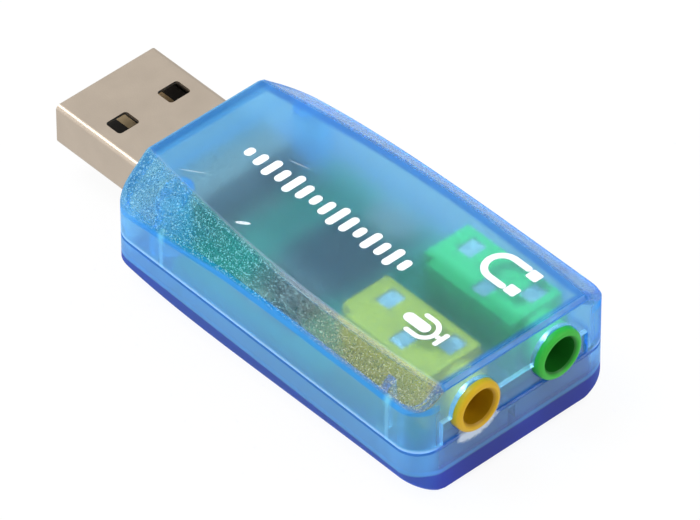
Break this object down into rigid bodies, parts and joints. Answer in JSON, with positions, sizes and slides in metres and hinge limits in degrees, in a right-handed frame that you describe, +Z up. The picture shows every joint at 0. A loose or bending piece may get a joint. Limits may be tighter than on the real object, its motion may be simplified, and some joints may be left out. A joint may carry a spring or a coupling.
{
  "type": "usb sound card",
  "caption": "Slim clear blue audio dongle with a flared, bevelled split case, a USB plug at one end and headphone and microphone jacks at the other.",
  "frame": {"origin": "on the plane of the flat sole, under the middle of the whole length and width", "axes": "+X along the dongle from the USB plug to the jacks, +Z up out of the lid"},
  "size_m": [0.0546, 0.0236, 0.0124],
  "materials": {
    "clear_blue_shell": "clear moulded plastic, frosted lid",
    "green_board": "solder resist",
    "nickel_steel": "satin nickel plate",
    "dark_plastic": "moulded",
    "green_plastic": "moulded",
    "amber_plastic": "moulded",
    "contact_metal": "plated",
    "tinned_metal": "tinned",
    "chip_epoxy": "moulded epoxy",
    "crystal_lid": "plated lid",
    "dark_ceramic": "moulded",
    "tan_ceramic": "fired ceramic",
    "black_film": "glazed",
    "white_ink": "printed signs on the lid"
  },
  "bodies": {
    "root": {"top_shell": "clear_blue_shell", "bottom_shell": "clear_blue_shell", "circuit_board": "green_board", "plug_shell": "nickel_steel", "plug_insulator": "dark_plastic", "plug_contact_power": "contact_metal", "plug_contact_data_minus": "contact_metal", "plug_contact_data_plus": "contact_metal", "plug_contact_ground": "contact_metal", "headphone_jack_housing": "green_plastic", "headphone_tip_contact": "tinned_metal", "headphone_ring_contact": "tinned_metal", "headphone_sleeve_contact": "tinned_metal", "microphone_jack_housing": "amber_plastic", "microphone_tip_contact": "tinned_metal", "microphone_ring_contact": "tinned_metal", "microphone_sleeve_contact": "tinned_metal", "codec_chip": "chip_epoxy", "codec_leads": "tinned_metal", "clock_crystal": "crystal_lid", "coupling_capacitors": "dark_ceramic", "chip_capacitors": "tan_ceramic", "chip_resistors": "black_film"}
  },
  "joints": []
}
